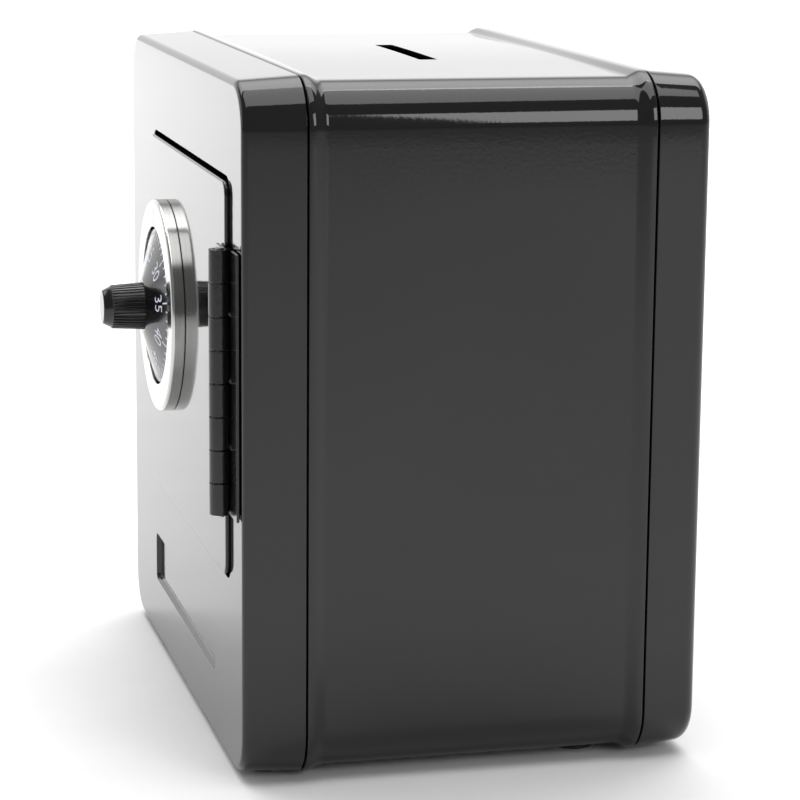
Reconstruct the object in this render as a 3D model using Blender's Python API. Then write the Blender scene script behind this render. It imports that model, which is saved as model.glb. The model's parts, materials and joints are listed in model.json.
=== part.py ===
"""Small pressed-steel cash box with a coin slot and a combination dial on its door.

Seen from the front the box stands on z = 0 with +X to the right. The door, dial and hinge face -Y.
Lengths below are millimetres in the box's own frame, whose front face lies at y = -BOX_DEPTH / 2.
place() turns them into metres and moves the whole box so that its bounding box is centred in X and Y.
"""

import math

import bmesh
import bpy
from mathutils import Matrix, Vector

MM = 0.001
GAP = 0.3

# Box shells
BOX_WIDTH = 146.0
BOX_DEPTH = 100.4
BOX_HEIGHT = 147.0
STAND_HEIGHT = 1.5
SHEET = 0.8
CORNER_RADIUS = 10.0
FRONT_EDGE_RADIUS = 1.4
REAR_EDGE_RADIUS = 3.0
FRONT_FLANGE = 13.3
REAR_FLANGE = 12.1
SEAM_GAP = 0.4
FLANGE_FLARE = 0.8
BODY_INSET = 0.25
BODY_CROWN = 0.4
BEAD_PROUD = 0.95
BEAD_TOP = 0.9
BEAD_FALL = 3.4
LIP_LENGTH = 4.0
CORNER_STEPS = 5
SIDE_STEPS = 6
EDGE_STEPS = 4

# Coin slot
SLOT_LENGTH = 43.0
SLOT_WIDTH = 4.2
SLOT_Y = 1.8

# Door and its opening
DOOR_LEFT = -38.5
DOOR_RIGHT = 58.5
DOOR_BOTTOM = 42.8
DOOR_TOP = 126.9
DOOR_GAP = 1.0
DOOR_PROUD = 0.9
DOOR_RETURN = 6.0
DOOR_CORNER = 3.0
DOOR_EDGE = 0.5

# Pressed panel under the door
PANEL_HALF_WIDTH = 40.3
PANEL_BOTTOM = 16.3
PANEL_TOP = 28.1
PANEL_DEPTH = 1.0

# Stop strip inside the latch side of the opening, a Z in section
STOP_FOOT = 10.0
STOP_STEP = 1.6
STOP_REACH = 1.9
STOP_MARGIN = 4.0

# Strike bracket over the opening
STRIKE_HALF_WIDTH = 8.0
STRIKE_FOOT = 9.0
TONGUE_HALF_WIDTH = 2.2
TONGUE_THICKNESS = 1.2
TONGUE_OFFSET = -1.3
TONGUE_DIP = 3.6

# Hinge
HINGE_X = 61.9
HINGE_BOTTOM = 57.3
HINGE_TOP = 113.7
KNUCKLES = 8
KNUCKLE_RADIUS = 2.35
PIN_RADIUS = 0.95
LEAF_THICKNESS = 0.6
LEAF_WIDTH = 9.2
KNUCKLE_CLEARANCE = 0.45

# Dial, near the latch side of the door
DIAL_X = -15.3
DIAL_Z = 89.0
RING_RADIUS = 24.7
RING_OPENING = 18.4
RING_HEIGHT = 2.8
RING_ROUNDING = 0.8
CONE_RIM_RADIUS = 18.0
CONE_RIM_HEIGHT = 1.4
CONE_RIM_DROP = 0.6
CONE_TOP_RADIUS = 6.2
CONE_RISE = 3.5
KNOB_RADIUS = 5.5
KNOB_LENGTH = 9.2
KNOB_TAPER = 0.4
KNOB_TIP_RADIUS = 3.9
KNOB_TIP_LENGTH = 2.0
KNOB_FLUTES = 40
FLUTE_DEPTH = 0.22
SPINDLE_RADIUS = 2.0
ROUND_STEPS = 48

# Bush through the door, its nut, and the three screws that hold the ring from behind
BUSH_RADIUS = 4.2
BUSH_FLANGE_RADIUS = 8.0
BUSH_FLANGE_THICKNESS = 0.4
BUSH_THREAD = 4.0
BUSH_NUT_RADIUS = 6.2
BUSH_NUT_HEIGHT = 3.0
SLEEVE_RADIUS = 4.0
SCREW_CIRCLE = 22.3
SCREW_ANGLES = (90, 235, 305)
SCREW_RADIUS = 1.2
SCREW_DEPTH = 1.7
SCREW_HEAD_RADIUS = 2.2
SCREW_HEAD_HEIGHT = 1.3

# Combination wheels
WHEEL_RADIUS = 17.8
WHEEL_THICKNESS = 1.5
WHEEL_SPACING = 2.9
WHEEL_BEHIND_DOOR = 8.1
GATE_WIDTH = 11.0
GATE_DEPTH = 5.6
DRIVE_PIN_RADIUS = 1.0
DRIVE_PIN_CIRCLE = 11.0
SPACER_RADIUS = 6.0
SPRING_RADIUS = 5.6
CLIP_RADIUS = 4.6

# Lock cover, a channel behind the wheels: an ear with two studs on its right, a short foot on its left
COVER_HALF_WIDTH = 18.3
COVER_EAR = 7.2
COVER_FOOT = 2.2
COVER_BOTTOM = 68.0
COVER_TOP = 101.6
COVER_DEPTH = 22.0
STUD_OFFSET_X = 22.7
STUD_HEIGHTS = (73.0, 96.6)
STUD_RADIUS = 1.5
STUD_LENGTH = 4.6
COVER_NUT_RADIUS = 3.2
COVER_NUT_HEIGHT = 2.2

# Feet
FOOT_RADIUS = 5.0
FOOT_X = 57.0
FRONT_FOOT_Y = -42.8
REAR_FOOT_Y = 27.0

FRONT_Y = -BOX_DEPTH / 2
REAR_Y = BOX_DEPTH / 2
FRONT_SEAM_Y = FRONT_Y + FRONT_FLANGE
REAR_SEAM_Y = REAR_Y - REAR_FLANGE
BOX_MIDDLE_Z = STAND_HEIGHT + BOX_HEIGHT / 2
DOOR_FACE_Y = FRONT_Y - DOOR_PROUD
DOOR_BACK_Y = DOOR_FACE_Y + DOOR_PROUD
RING_BACK_Y = DOOR_FACE_Y - GAP
RING_FRONT_Y = RING_BACK_Y - RING_HEIGHT
CONE_RIM_Y = RING_FRONT_Y + CONE_RIM_DROP
CONE_BACK_Y = CONE_RIM_Y + CONE_RIM_HEIGHT
CONE_TOP_Y = CONE_RIM_Y - CONE_RISE
KNOB_BACK_Y = CONE_TOP_Y - GAP
KNOB_FRONT_Y = KNOB_BACK_Y - KNOB_LENGTH
WHEEL_FRONT_Y = FRONT_Y + WHEEL_BEHIND_DOOR
COVER_BACK_Y = FRONT_Y + COVER_DEPTH
HINGE_Y = FRONT_Y - GAP - KNUCKLE_RADIUS
BOX_CENTRE_Y = -(KNOB_FRONT_Y + REAR_Y) / 2
DIAL_ORIGIN = (DIAL_X, RING_FRONT_Y, DIAL_Z)
HINGE_ORIGIN = (HINGE_X, HINGE_Y, (HINGE_BOTTOM + HINGE_TOP) / 2)


def clear_scene():
    for obj in list(bpy.data.objects):
        bpy.data.objects.remove(obj, do_unlink=True)


def material(name, colour, roughness, metallic=0.0):
    mat = bpy.data.materials.new(name)
    mat.use_nodes = True
    shader = mat.node_tree.nodes["Principled BSDF"]
    shader.inputs["Base Color"].default_value = (*colour, 1.0)
    shader.inputs["Roughness"].default_value = roughness
    shader.inputs["Metallic"].default_value = metallic
    return mat


# ---------------------------------------------------------------- outlines


def arc(centre, radius, start, end, steps):
    """Points along an arc, angles in degrees, both ends included."""
    points = []
    for i in range(steps + 1):
        angle = math.radians(start + (end - start) * i / steps)
        points.append((centre[0] + radius * math.cos(angle), centre[1] + radius * math.sin(angle)))
    return points


def circle(centre, radius, steps=ROUND_STEPS):
    return arc(centre, radius, 0, 360, steps)[:-1]


def rectangle(left, right, bottom, top):
    return [(left, bottom), (right, bottom), (right, top), (left, top)]


def rounded_rectangle(left, right, bottom, top, radius, steps=CORNER_STEPS):
    corners = (
        (left + radius, bottom + radius, 180),
        (right - radius, bottom + radius, 270),
        (right - radius, top - radius, 0),
        (left + radius, top - radius, 90),
    )
    points = []
    for x, z, start in corners:
        points += arc((x, z), radius, start, start + 90, steps)
    return points


def box_outline(inset, crown=0.0):
    """The box's section in XZ, drawn in by inset; crown bows the top and the sides outwards."""
    half_width = BOX_WIDTH / 2 - inset
    half_height = BOX_HEIGHT / 2 - inset
    radius = CORNER_RADIUS - inset
    flat_x = half_width - radius
    flat_z = half_height - radius
    points = []
    corners = ((-1, -1, 180), (1, -1, 270), (1, 1, 0), (-1, 1, 90))
    for i, (sx, sz, start) in enumerate(corners):
        points += arc((sx * flat_x, sz * flat_z), radius, start, start + 90, CORNER_STEPS)
        for step in range(1, SIDE_STEPS):
            t = step / SIDE_STEPS
            bow = crown * 4 * t * (1 - t)
            if i == 0:
                points.append((flat_x * (2 * t - 1), -half_height))
            elif i == 1:
                points.append((half_width + bow, flat_z * (2 * t - 1)))
            elif i == 2:
                points.append((flat_x * (1 - 2 * t), half_height + bow))
            else:
                points.append((-half_width - bow, flat_z * (1 - 2 * t)))
    return [(x, z + BOX_MIDDLE_Z) for x, z in points]


# ---------------------------------------------------------------- solids


def skin_rings(bm, rings, closed_loop):
    """Joins rings of equal length with quads; the ends are capped unless the rings close into a loop."""
    count = len(rings[0])
    layers = [[bm.verts.new(point) for point in ring] for ring in rings]
    pairs = list(zip(layers, layers[1:]))
    if closed_loop:
        pairs.append((layers[-1], layers[0]))
    for low, high in pairs:
        for i in range(count):
            j = (i + 1) % count
            bm.faces.new((low[i], low[j], high[j], high[i]))
    if not closed_loop:
        bm.faces.new(layers[0])
        bm.faces.new(layers[-1])


def finished(bm):
    bmesh.ops.recalc_face_normals(bm, faces=bm.faces)
    return bm


def lofted(sections, closed_loop=False):
    """Sections are (y, outline) pairs, each outline a list of (x, z)."""
    bm = bmesh.new()
    rings = [[(x, y, z) for x, z in outline] for y, outline in sections]
    skin_rings(bm, rings, closed_loop)
    return finished(bm)


def prism(points, low, high, axis="Y"):
    """Extrudes an outline along one axis; its points hold the other two coordinates in order."""
    order = {
        "X": lambda p, t: (t, p[0], p[1]),
        "Y": lambda p, t: (p[0], t, p[1]),
        "Z": lambda p, t: (p[0], p[1], t),
    }[axis]
    bm = bmesh.new()
    skin_rings(bm, [[order(p, low) for p in points], [order(p, high) for p in points]], False)
    return finished(bm)


def turned(profile, centre=(DIAL_X, DIAL_Z), steps=ROUND_STEPS):
    """Turns a closed profile of (radius, y) points about a line along Y through centre."""
    bm = bmesh.new()
    rings = []
    for i in range(steps):
        angle = 2 * math.pi * i / steps
        cos, sin = math.cos(angle), math.sin(angle)
        rings.append([(centre[0] + r * cos, y, centre[1] + r * sin) for r, y in profile])
    skin_rings(bm, rings, True)
    return finished(bm)


def place(name, bm, mat, origin=(0.0, 0.0, 0.0), smooth=True):
    """Makes an object from millimetre geometry, with its origin at the given point of the box frame."""
    shift = Vector(origin)
    bm.transform(Matrix.Translation(-shift))
    bm.transform(Matrix.Scale(MM, 4))
    mesh = bpy.data.meshes.new(name)
    bm.to_mesh(mesh)
    bm.free()
    if smooth:
        mesh.shade_smooth()
        mesh.set_sharp_from_angle(angle=math.radians(35))
    if mat is not None:
        mesh.materials.append(mat)
    obj = bpy.data.objects.new(name, mesh)
    obj.location = (shift + Vector((0.0, BOX_CENTRE_Y, 0.0))) * MM
    bpy.context.scene.collection.objects.link(obj)
    return obj


def boolean(obj, tool_bm, operation):
    """Adds a Boolean whose tool is a hidden guide object in the same frame."""
    tool = place(f"{obj.name}_tool_{len(obj.modifiers)}", tool_bm, None, smooth=False)
    tool.hide_render = True
    tool.display_type = "WIRE"
    modifier = obj.modifiers.new(operation.title(), "BOOLEAN")
    modifier.operation = operation
    modifier.solver = "EXACT"
    modifier.object = tool


def cut(obj, tool_bm):
    boolean(obj, tool_bm, "DIFFERENCE")


def fuse(obj, tool_bm):
    boolean(obj, tool_bm, "UNION")


def on_dial_circle(radius, degrees):
    angle = math.radians(degrees)
    return (DIAL_X + radius * math.cos(angle), DIAL_Z + radius * math.sin(angle))


# ---------------------------------------------------------------- box


def pan_sections(face_y, inward, flange, edge):
    """Outer then inner sections of a drawn pan: face, rounded edge and flared flange."""
    outer = []
    for i in range(EDGE_STEPS + 1):
        angle = math.radians(90 * i / EDGE_STEPS)
        outer.append((edge * (1 - math.cos(angle)), edge * (1 - math.sin(angle))))
    outer.append((flange, -FLANGE_FLARE))
    inner = [(flange, SHEET - FLANGE_FLARE), (edge, SHEET), (SHEET, edge)]
    return [(face_y + inward * depth, box_outline(inset)) for depth, inset in outer + inner]


def build_front_shell(mat):
    sections = pan_sections(FRONT_Y, 1, FRONT_FLANGE, FRONT_EDGE_RADIUS)
    shell = place("front_shell", lofted(sections), mat)
    mouth = (-PANEL_HALF_WIDTH, PANEL_HALF_WIDTH, PANEL_BOTTOM, PANEL_TOP)
    back = (mouth[0] - SHEET, mouth[1] + SHEET, mouth[2] - SHEET, mouth[3] + SHEET)
    back_y = FRONT_Y + SHEET + PANEL_DEPTH
    fuse(shell, prism(rounded_rectangle(*back, 2.0, 3), FRONT_Y + SHEET / 2, back_y))
    cut(shell, prism(rounded_rectangle(*mouth, 1.5, 3), FRONT_Y - 1, FRONT_Y + PANEL_DEPTH))
    opening = (DOOR_LEFT - DOOR_GAP, DOOR_RIGHT + DOOR_GAP, DOOR_BOTTOM - DOOR_GAP, DOOR_TOP + DOOR_GAP)
    corner = DOOR_CORNER + DOOR_GAP
    cut(shell, prism(rounded_rectangle(*opening, corner, 4), FRONT_Y - 1, FRONT_Y + 2))


def build_rear_shell(mat):
    place("rear_shell", lofted(pan_sections(REAR_Y, -1, REAR_FLANGE, REAR_EDGE_RADIUS)), mat)


def build_body_shell(mat):
    """The wrap between the two pans: beads along both seams, a sunk panel and a lip inside each pan."""
    front, rear = FRONT_SEAM_Y + SEAM_GAP, REAR_SEAM_Y - SEAM_GAP
    fall_middle = (BODY_INSET - BEAD_PROUD) / 2
    panel_margin = BEAD_TOP + BEAD_FALL
    lip_outside = SHEET + GAP
    lip_inside = lip_outside + SHEET
    panel_inside = BODY_INSET + SHEET
    profile = (
        (front - LIP_LENGTH, lip_outside, 0.0),
        (front, lip_outside, 0.0),
        (front, -BEAD_PROUD, 0.0),
        (front + BEAD_TOP, -BEAD_PROUD, 0.0),
        (front + BEAD_TOP + BEAD_FALL / 2, fall_middle, BODY_CROWN / 2),
        (front + panel_margin, BODY_INSET, BODY_CROWN),
        (rear - panel_margin, BODY_INSET, BODY_CROWN),
        (rear - BEAD_TOP - BEAD_FALL / 2, fall_middle, BODY_CROWN / 2),
        (rear - BEAD_TOP, -BEAD_PROUD, 0.0),
        (rear, -BEAD_PROUD, 0.0),
        (rear, lip_outside, 0.0),
        (rear + LIP_LENGTH, lip_outside, 0.0),
        (rear + LIP_LENGTH, lip_inside, 0.0),
        (rear - BEAD_TOP, lip_inside, 0.0),
        (rear - panel_margin, panel_inside, 0.0),
        (rear - panel_margin - 2, panel_inside, BODY_CROWN),
        (front + panel_margin + 2, panel_inside, BODY_CROWN),
        (front + panel_margin, panel_inside, 0.0),
        (front + BEAD_TOP, lip_inside, 0.0),
        (front - LIP_LENGTH, lip_inside, 0.0),
    )
    sections = [(y, box_outline(inset, crown)) for y, inset, crown in profile]
    body = place("body_shell", lofted(sections, closed_loop=True), mat)
    half = SLOT_LENGTH / 2
    slot = rounded_rectangle(-half, half, SLOT_Y - SLOT_WIDTH / 2, SLOT_Y + SLOT_WIDTH / 2, 0.8, 2)
    top = STAND_HEIGHT + BOX_HEIGHT
    cut(body, prism(slot, top - 6, top + 3, "Z"))


def build_door_stop(mat):
    """Z-shaped strip inside the opening's latch side; the shut door rests on its lip."""
    face = FRONT_Y + SHEET + GAP
    lip = DOOR_BACK_Y + DOOR_RETURN + GAP
    edge = DOOR_LEFT - DOOR_GAP
    web = edge - STOP_STEP
    section = (
        (edge - STOP_FOOT, face),
        (web, face),
        (web, lip),
        (edge + STOP_REACH, lip),
        (edge + STOP_REACH, lip + SHEET),
        (web - SHEET, lip + SHEET),
        (web - SHEET, face + SHEET),
        (edge - STOP_FOOT, face + SHEET),
    )
    strip = prism(section, DOOR_BOTTOM + STOP_MARGIN, DOOR_TOP - STOP_MARGIN, "Z")
    place("door_stop_strip", strip, mat, smooth=False)


def build_strike(mat):
    """Bracket above the opening whose tongue hangs in front of the wheels; only the gates pass it."""
    centre_x = DIAL_X + TONGUE_OFFSET
    face = FRONT_Y + SHEET + GAP
    tongue = DOOR_BACK_Y + DOOR_RETURN + 0.4
    shelf = DOOR_TOP + DOOR_GAP + SHEET
    section = (
        (face, shelf),
        (tongue + TONGUE_THICKNESS, shelf),
        (tongue + TONGUE_THICKNESS, shelf + SHEET),
        (face + SHEET, shelf + SHEET),
        (face + SHEET, shelf + STRIKE_FOOT),
        (face, shelf + STRIKE_FOOT),
    )
    span = (centre_x - STRIKE_HALF_WIDTH, centre_x + STRIKE_HALF_WIDTH)
    strike = place("strike_bracket", prism(section, *span, "X"), mat, smooth=False)
    tip = DIAL_Z + WHEEL_RADIUS - TONGUE_DIP
    blade = rectangle(tongue, tongue + TONGUE_THICKNESS, tip, shelf + SHEET / 2)
    fuse(strike, prism(blade, centre_x - TONGUE_HALF_WIDTH, centre_x + TONGUE_HALF_WIDTH, "X"))


def build_feet(mat):
    shell_bottom = STAND_HEIGHT - FLANGE_FLARE - GAP
    body_bottom = STAND_HEIGHT + BODY_INSET - GAP
    for row, y, top in (("front", FRONT_FOOT_Y, shell_bottom), ("rear", REAR_FOOT_Y, body_bottom)):
        for side, x in (("left", -FOOT_X), ("right", FOOT_X)):
            pad = prism(circle((x, y), FOOT_RADIUS, 24), 0.0, top, "Z")
            place(f"foot_{row}_{side}", pad, mat)


# ---------------------------------------------------------------- door and hinge


def bush_hole(steps=24):
    return circle((DIAL_X, DIAL_Z), BUSH_RADIUS + GAP, steps)


def screw_holes():
    return [circle(on_dial_circle(SCREW_CIRCLE, angle), SCREW_RADIUS + GAP, 12) for angle in SCREW_ANGLES]


def build_door(mat):
    """A shallow pan: flat face with a small edge radius and a return flange round its back."""

    def outline(inset):
        sides = (DOOR_LEFT + inset, DOOR_RIGHT - inset, DOOR_BOTTOM + inset, DOOR_TOP - inset)
        return rounded_rectangle(*sides, DOOR_CORNER - inset, 4)

    back = DOOR_BACK_Y + DOOR_RETURN
    sections = [
        (DOOR_FACE_Y, outline(DOOR_EDGE)),
        (DOOR_FACE_Y + 0.3 * DOOR_EDGE, outline(0.3 * DOOR_EDGE)),
        (DOOR_FACE_Y + DOOR_EDGE, outline(0.0)),
        (back, outline(0.0)),
        (back, outline(SHEET)),
        (DOOR_BACK_Y, outline(SHEET)),
    ]
    door = place("door_panel", lofted(sections), mat, HINGE_ORIGIN)
    for hole in [bush_hole()] + screw_holes():
        cut(door, prism(hole, DOOR_FACE_Y - 1, DOOR_BACK_Y + 1))


def knuckle_spans(parity):
    pitch = (HINGE_TOP - HINGE_BOTTOM) / KNUCKLES
    for i in range(parity, KNUCKLES, 2):
        low = HINGE_BOTTOM + i * pitch
        yield low + GAP / 2, low + pitch - GAP / 2


def tube(bm, centre, outer, inner, low, high, steps=24):
    rings = []
    for i in range(steps):
        angle = 2 * math.pi * i / steps
        cos, sin = math.cos(angle), math.sin(angle)
        section = ((outer, low), (outer, high), (inner, high), (inner, low))
        rings.append([(centre[0] + r * cos, centre[1] + r * sin, z) for r, z in section])
    skin_rings(bm, rings, True)


def build_leaf(name, mat, side, back_y, parity, tab_end):
    """One hinge leaf: a flat plate, its knuckles and the short tabs that join them."""
    near = KNUCKLE_RADIUS + KNUCKLE_CLEARANCE
    xs = sorted((HINGE_X + side * near, HINGE_X + side * LEAF_WIDTH))
    front_y = back_y - LEAF_THICKNESS
    plate = prism(rectangle(*xs, front_y, back_y), HINGE_BOTTOM + GAP / 2, HINGE_TOP - GAP / 2, "Z")
    leaf = place(name, plate, mat, HINGE_ORIGIN)
    for low, high in knuckle_spans(parity):
        barrel = bmesh.new()
        tube(barrel, (HINGE_X, HINGE_Y), KNUCKLE_RADIUS, PIN_RADIUS + GAP, low, high)
        tab_x = sorted((HINGE_X + side * tab_end, HINGE_X + side * (near + 1)))
        fuse(leaf, finished(barrel))
        fuse(leaf, prism(rectangle(*tab_x, front_y, back_y), low, high, "Z"))


def build_hinge(mat, pin_mat):
    build_leaf("hinge_fixed_leaf", mat, 1, FRONT_Y - GAP, 0, 0.2)
    build_leaf("hinge_door_leaf", mat, -1, DOOR_FACE_Y - GAP, 1, 1.5)
    pin = prism(circle((HINGE_X, HINGE_Y), PIN_RADIUS, 16), HINGE_BOTTOM - 0.4, HINGE_TOP + 0.2, "Z")
    place("hinge_pin", pin, pin_mat, HINGE_ORIGIN)


# ---------------------------------------------------------------- dial


def build_ring(mat):
    """Turned ring on the door, its outer front edge well rounded."""
    middle = RING_ROUNDING * (1 - math.sqrt(0.5))
    profile = (
        (RING_OPENING, RING_BACK_Y),
        (RING_RADIUS, RING_BACK_Y),
        (RING_RADIUS, RING_FRONT_Y + RING_ROUNDING),
        (RING_RADIUS - middle, RING_FRONT_Y + middle),
        (RING_RADIUS - RING_ROUNDING, RING_FRONT_Y),
        (RING_OPENING + 0.3, RING_FRONT_Y),
        (RING_OPENING, RING_FRONT_Y + 0.3),
    )
    ring = place("dial_ring", turned(profile), mat, DIAL_ORIGIN)
    for hole in screw_holes():
        cut(ring, prism(hole, RING_BACK_Y - SCREW_DEPTH - GAP, RING_BACK_Y + 1))


def build_cone(mat):
    bore = SPINDLE_RADIUS + GAP
    profile = (
        (bore, CONE_BACK_Y),
        (CONE_RIM_RADIUS, CONE_BACK_Y),
        (CONE_RIM_RADIUS, CONE_RIM_Y + 0.3),
        (CONE_RIM_RADIUS - 0.5, CONE_RIM_Y),
        (CONE_TOP_RADIUS, CONE_TOP_Y),
        (bore, CONE_TOP_Y),
    )
    place("dial_cone", turned(profile), mat, DIAL_ORIGIN)


def build_knob(mat):
    """Fluted finger knob, a little slimmer at the tip, which ends in a plain cone."""
    tip_start = KNOB_LENGTH - KNOB_TIP_LENGTH
    shoulder = KNOB_RADIUS - KNOB_TAPER
    stations = (
        (0.0, KNOB_RADIUS, 0.0),
        (0.3, KNOB_RADIUS, FLUTE_DEPTH),
        (tip_start, shoulder, FLUTE_DEPTH),
        (tip_start + 0.2, shoulder - FLUTE_DEPTH, 0.0),
        (KNOB_LENGTH - 0.3, KNOB_TIP_RADIUS + 0.1, 0.0),
        (KNOB_LENGTH, KNOB_TIP_RADIUS - 0.2, 0.0),
    )
    rings = []
    points = KNOB_FLUTES * 2
    for along, radius, groove in stations:
        ring = []
        for i in range(points):
            r = radius - groove * (i % 2)
            angle = 2 * math.pi * i / points
            x, z = DIAL_X + r * math.cos(angle), DIAL_Z + r * math.sin(angle)
            ring.append((x, KNOB_BACK_Y - along, z))
        rings.append(ring)
    bm = bmesh.new()
    skin_rings(bm, rings, False)
    place("dial_knob", finished(bm), mat, DIAL_ORIGIN)


def wheel_y(index):
    """Front face of a wheel, counted from the door."""
    return WHEEL_FRONT_Y + index * WHEEL_SPACING


def build_wheel(name, mat, index, bore, pin_sides):
    """A disc with its gate at the top and a drive pin towards each neighbour it meets."""
    front = wheel_y(index)
    back = front + WHEEL_THICKNESS
    half_angle = math.degrees(math.asin(GATE_WIDTH / 2 / WHEEL_RADIUS))
    outline = arc((DIAL_X, DIAL_Z), WHEEL_RADIUS, 90 + half_angle, 450 - half_angle, ROUND_STEPS)
    floor = DIAL_Z + WHEEL_RADIUS - GATE_DEPTH
    outline += [(DIAL_X + GATE_WIDTH / 2, floor), (DIAL_X - GATE_WIDTH / 2, floor)]
    wheel = place(name, prism(outline, front, back), mat, (DIAL_X, front, DIAL_Z))
    cut(wheel, prism(circle((DIAL_X, DIAL_Z), bore, 24), front - 1, back + 1))
    reach = WHEEL_SPACING - WHEEL_THICKNESS - GAP
    for side in pin_sides:
        post = circle(on_dial_circle(DRIVE_PIN_CIRCLE, 210 + 10 * side), DRIVE_PIN_RADIUS, 12)
        span = (front - reach, front + 0.5) if side < 0 else (back - 0.5, back + reach)
        fuse(wheel, prism(post, *span))


def build_wheels(wheel_mat, spacer_mat):
    bore = SPINDLE_RADIUS + GAP
    build_wheel("combination_wheel_front", wheel_mat, 0, bore, (1,))
    build_wheel("combination_wheel_middle", wheel_mat, 1, bore, (-1, 1))
    build_wheel("drive_wheel", wheel_mat, 2, bore, (-1,))
    for i, name in enumerate(("wheel_spacer_front", "wheel_spacer_rear")):
        low = wheel_y(i) + WHEEL_THICKNESS + GAP
        high = wheel_y(i + 1) - GAP
        washer = ((bore, low), (SPACER_RADIUS, low), (SPACER_RADIUS, high), (bore, high))
        place(name, turned(washer, steps=24), spacer_mat, (DIAL_X, low, DIAL_Z))


def build_spindle_group(steel, brass):
    """Spindle, the flanged bush that carries it in the door, and what holds the wheels against the bush."""
    bore = SPINDLE_RADIUS + GAP
    shaft = circle((DIAL_X, DIAL_Z), SPINDLE_RADIUS, 24)
    place("dial_spindle", prism(shaft, CONE_TOP_Y + GAP, COVER_BACK_Y + 1.2), steel, DIAL_ORIGIN)
    flange_front = RING_BACK_Y - BUSH_FLANGE_THICKNESS
    bush_back = DOOR_BACK_Y + BUSH_THREAD
    bush = (
        (bore, flange_front),
        (BUSH_FLANGE_RADIUS, flange_front),
        (BUSH_FLANGE_RADIUS, RING_BACK_Y),
        (BUSH_RADIUS, RING_BACK_Y),
        (BUSH_RADIUS, bush_back),
        (bore, bush_back),
    )
    place("spindle_bush", turned(bush, steps=32), brass, DIAL_ORIGIN)
    nut_front = DOOR_BACK_Y + GAP
    hexagon = circle((DIAL_X, DIAL_Z), BUSH_NUT_RADIUS, 6)
    nut = place("bush_nut", prism(hexagon, nut_front, nut_front + BUSH_NUT_HEIGHT), brass, smooth=False)
    cut(nut, prism(bush_hole(), nut_front - 1, nut_front + BUSH_NUT_HEIGHT + 1))
    low, high = bush_back + GAP, WHEEL_FRONT_Y - GAP
    sleeve = ((bore, low), (SLEEVE_RADIUS, low), (SLEEVE_RADIUS, high), (bore, high))
    place("spindle_sleeve", turned(sleeve, steps=24), brass, DIAL_ORIGIN)
    last = wheel_y(2) + WHEEL_THICKNESS
    spring = (
        (bore, last + 0.3),
        (SPRING_RADIUS, last + 0.9),
        (SPRING_RADIUS, last + 1.3),
        (bore, last + 0.7),
    )
    place("spring_washer", turned(spring, steps=24), steel, DIAL_ORIGIN)
    centre = (DIAL_X, DIAL_Z)
    clip = arc(centre, CLIP_RADIUS, -60, 240, 20) + arc(centre, bore, 240, -60, 20)
    place("retaining_clip", prism(clip, last + 1.6, last + 2.4), steel, DIAL_ORIGIN)


def build_ring_screws(mat):
    for i, angle in enumerate(SCREW_ANGLES):
        centre = on_dial_circle(SCREW_CIRCLE, angle)
        head = DOOR_BACK_Y + GAP
        stations = (
            (SCREW_RADIUS, RING_BACK_Y - SCREW_DEPTH),
            (SCREW_RADIUS, head),
            (SCREW_HEAD_RADIUS, head),
            (SCREW_HEAD_RADIUS, head + SCREW_HEAD_HEIGHT),
        )
        bm = bmesh.new()
        skin_rings(bm, [[(x, y, z) for x, z in circle(centre, r, 12)] for r, y in stations], False)
        place(f"ring_screw_{i + 1}", finished(bm), mat)


def build_cover(mat, stud_mat, nut_mat):
    """Channel over the wheels, which also carries the free end of the spindle."""
    face = DOOR_BACK_Y + GAP
    inner, outer = COVER_HALF_WIDTH, COVER_HALF_WIDTH + SHEET
    ear, foot = outer + COVER_EAR, outer + COVER_FOOT
    outline = (
        (-inner, face),
        (-inner, COVER_BACK_Y - SHEET),
        (inner, COVER_BACK_Y - SHEET),
        (inner, face),
        (ear, face),
        (ear, face + SHEET),
        (outer, face + SHEET),
        (outer, COVER_BACK_Y),
        (-outer, COVER_BACK_Y),
        (-outer, face + SHEET),
        (-foot, face + SHEET),
        (-foot, face),
    )
    section = [(DIAL_X + x, y) for x, y in outline]
    cover = place("lock_cover", prism(section, COVER_BOTTOM, COVER_TOP, "Z"), mat, smooth=False)
    hole = circle((DIAL_X, DIAL_Z), SPINDLE_RADIUS + GAP, 24)
    cut(cover, prism(hole, COVER_BACK_Y - 2, COVER_BACK_Y + 1))
    centres = [(DIAL_X + STUD_OFFSET_X, z) for z in STUD_HEIGHTS]
    nut_y = face + SHEET + GAP
    for i, centre in enumerate(centres):
        hole = circle(centre, STUD_RADIUS + GAP, 12)
        cut(cover, prism(hole, face - 1, face + 2))
        stud = prism(circle(centre, STUD_RADIUS, 12), face, face + STUD_LENGTH)
        place(f"cover_stud_{i + 1}", stud, stud_mat)
        hexagon = prism(circle(centre, COVER_NUT_RADIUS, 6), nut_y, nut_y + COVER_NUT_HEIGHT)
        nut = place(f"cover_nut_{i + 1}", hexagon, nut_mat, smooth=False)
        cut(nut, prism(hole, nut_y - 1, nut_y + COVER_NUT_HEIGHT + 1))


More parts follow.
